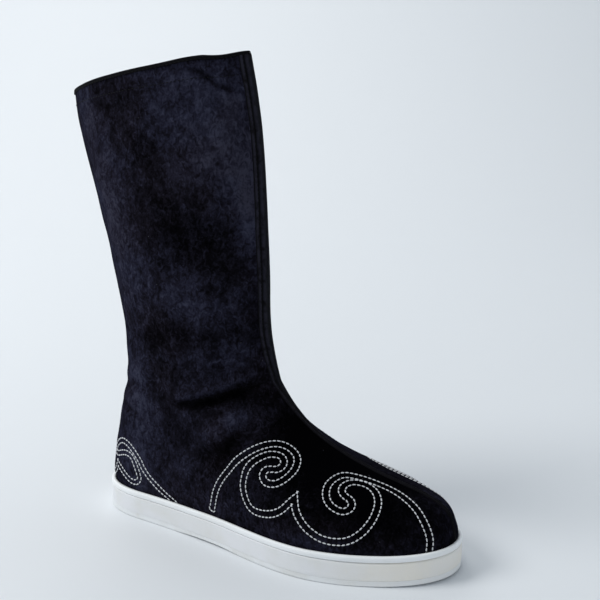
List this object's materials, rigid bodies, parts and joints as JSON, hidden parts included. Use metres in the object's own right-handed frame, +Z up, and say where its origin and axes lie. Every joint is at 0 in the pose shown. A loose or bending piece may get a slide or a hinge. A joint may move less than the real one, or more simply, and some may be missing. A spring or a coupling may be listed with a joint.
{
  "type": "costume boot",
  "caption": "Right costume boot with a tall soft velvet shaft, a raised strip down the front seam, a bound collar and a white moulded sole with a rolled lip",
  "frame": {"origin": "On the floor under the middle of the heel, on the flat of the outsole that the boot stands on", "axes": "+X towards the toe, +Z up along the shaft, +Y towards the wearer's inner side"},
  "size_m": [0.3139, 0.1102, 0.3438],
  "materials": {
    "velvet": "short black cotton velvet",
    "binding_cloth": "plain black woven cloth",
    "white_rubber": "smooth white moulded rubber",
    "cream_foam": "matte off-white foam sidewall",
    "tread_rubber": "matte off-white tread",
    "insole_cloth": "plain woven cloth"
  },
  "bodies": {
    "root": {"outsole": "tread_rubber", "midsole": "cream_foam", "welt": "white_rubber", "insole": "insole_cloth", "upper": "velvet", "front_strip": "binding_cloth", "collar_binding": "binding_cloth"}
  },
  "joints": []
}
